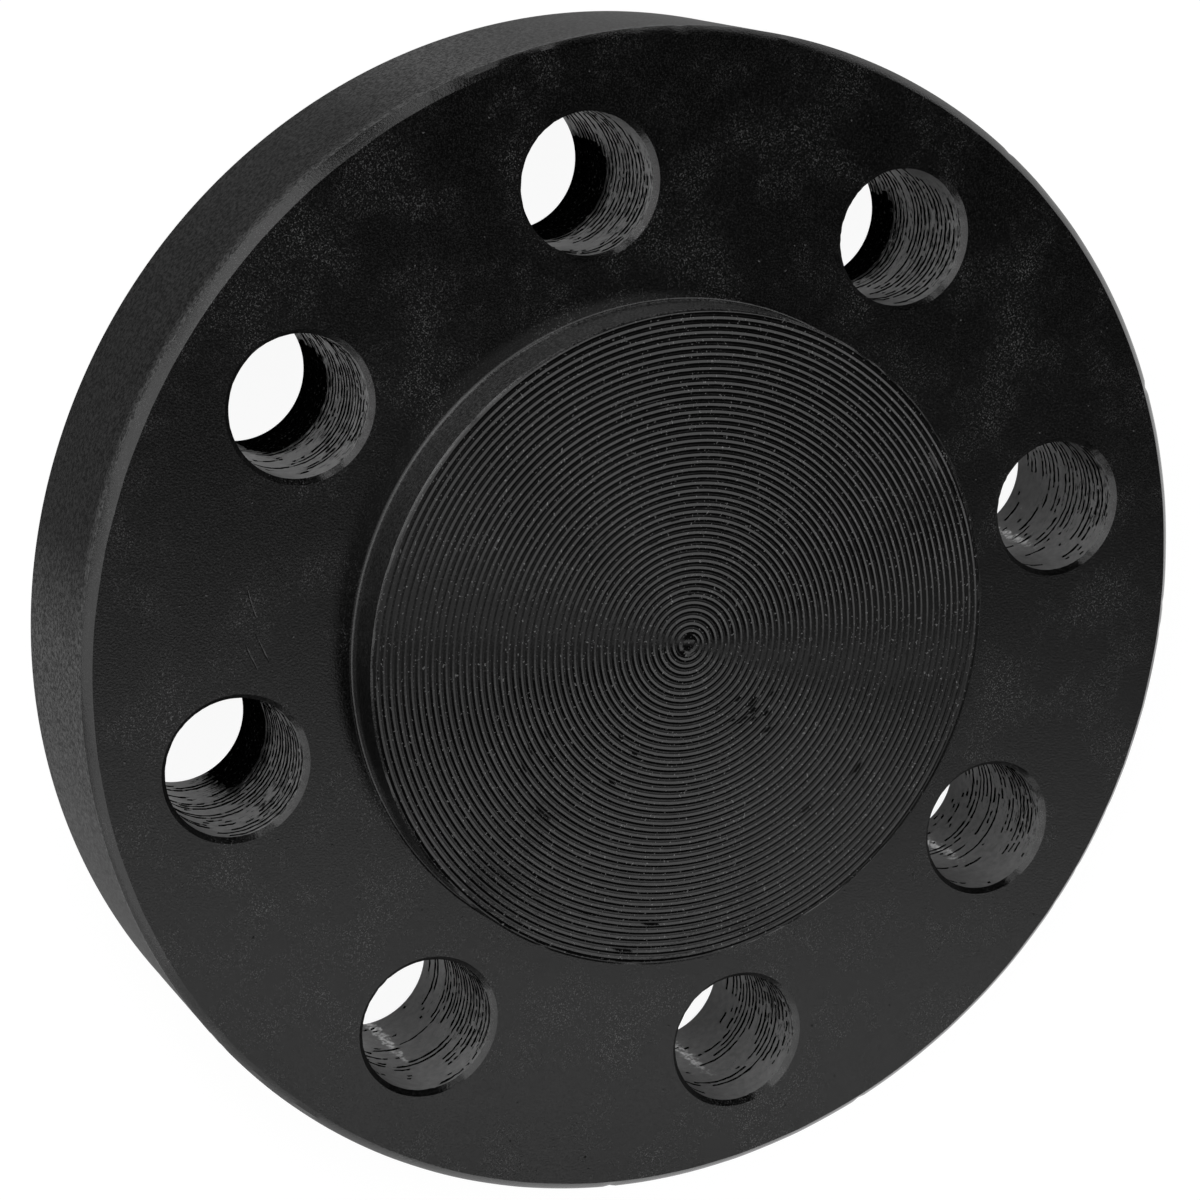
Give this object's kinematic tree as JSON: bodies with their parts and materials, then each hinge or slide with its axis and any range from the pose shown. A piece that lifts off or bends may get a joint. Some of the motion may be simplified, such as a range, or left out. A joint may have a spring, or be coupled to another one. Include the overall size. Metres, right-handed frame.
{
  "type": "blind flange",
  "caption": "Blind pipe flange: a solid disc that closes the end of a pipe line, with a raised, spiral-grooved gasket face and a circle of bolt holes.",
  "frame": {"origin": "centre of the flat back face, on which the flange lies", "axes": "+Z along the pipe's axis, up through the raised face; the bolt holes straddle +X and +Y"},
  "size_m": [0.165, 0.165, 0.034],
  "materials": {
    "forged_steel": "forged and turned carbon steel under a thin matt black protective coat, fine grained, with pale specks"
  },
  "bodies": {
    "root": {"blind_flange": "forged_steel"}
  },
  "joints": []
}
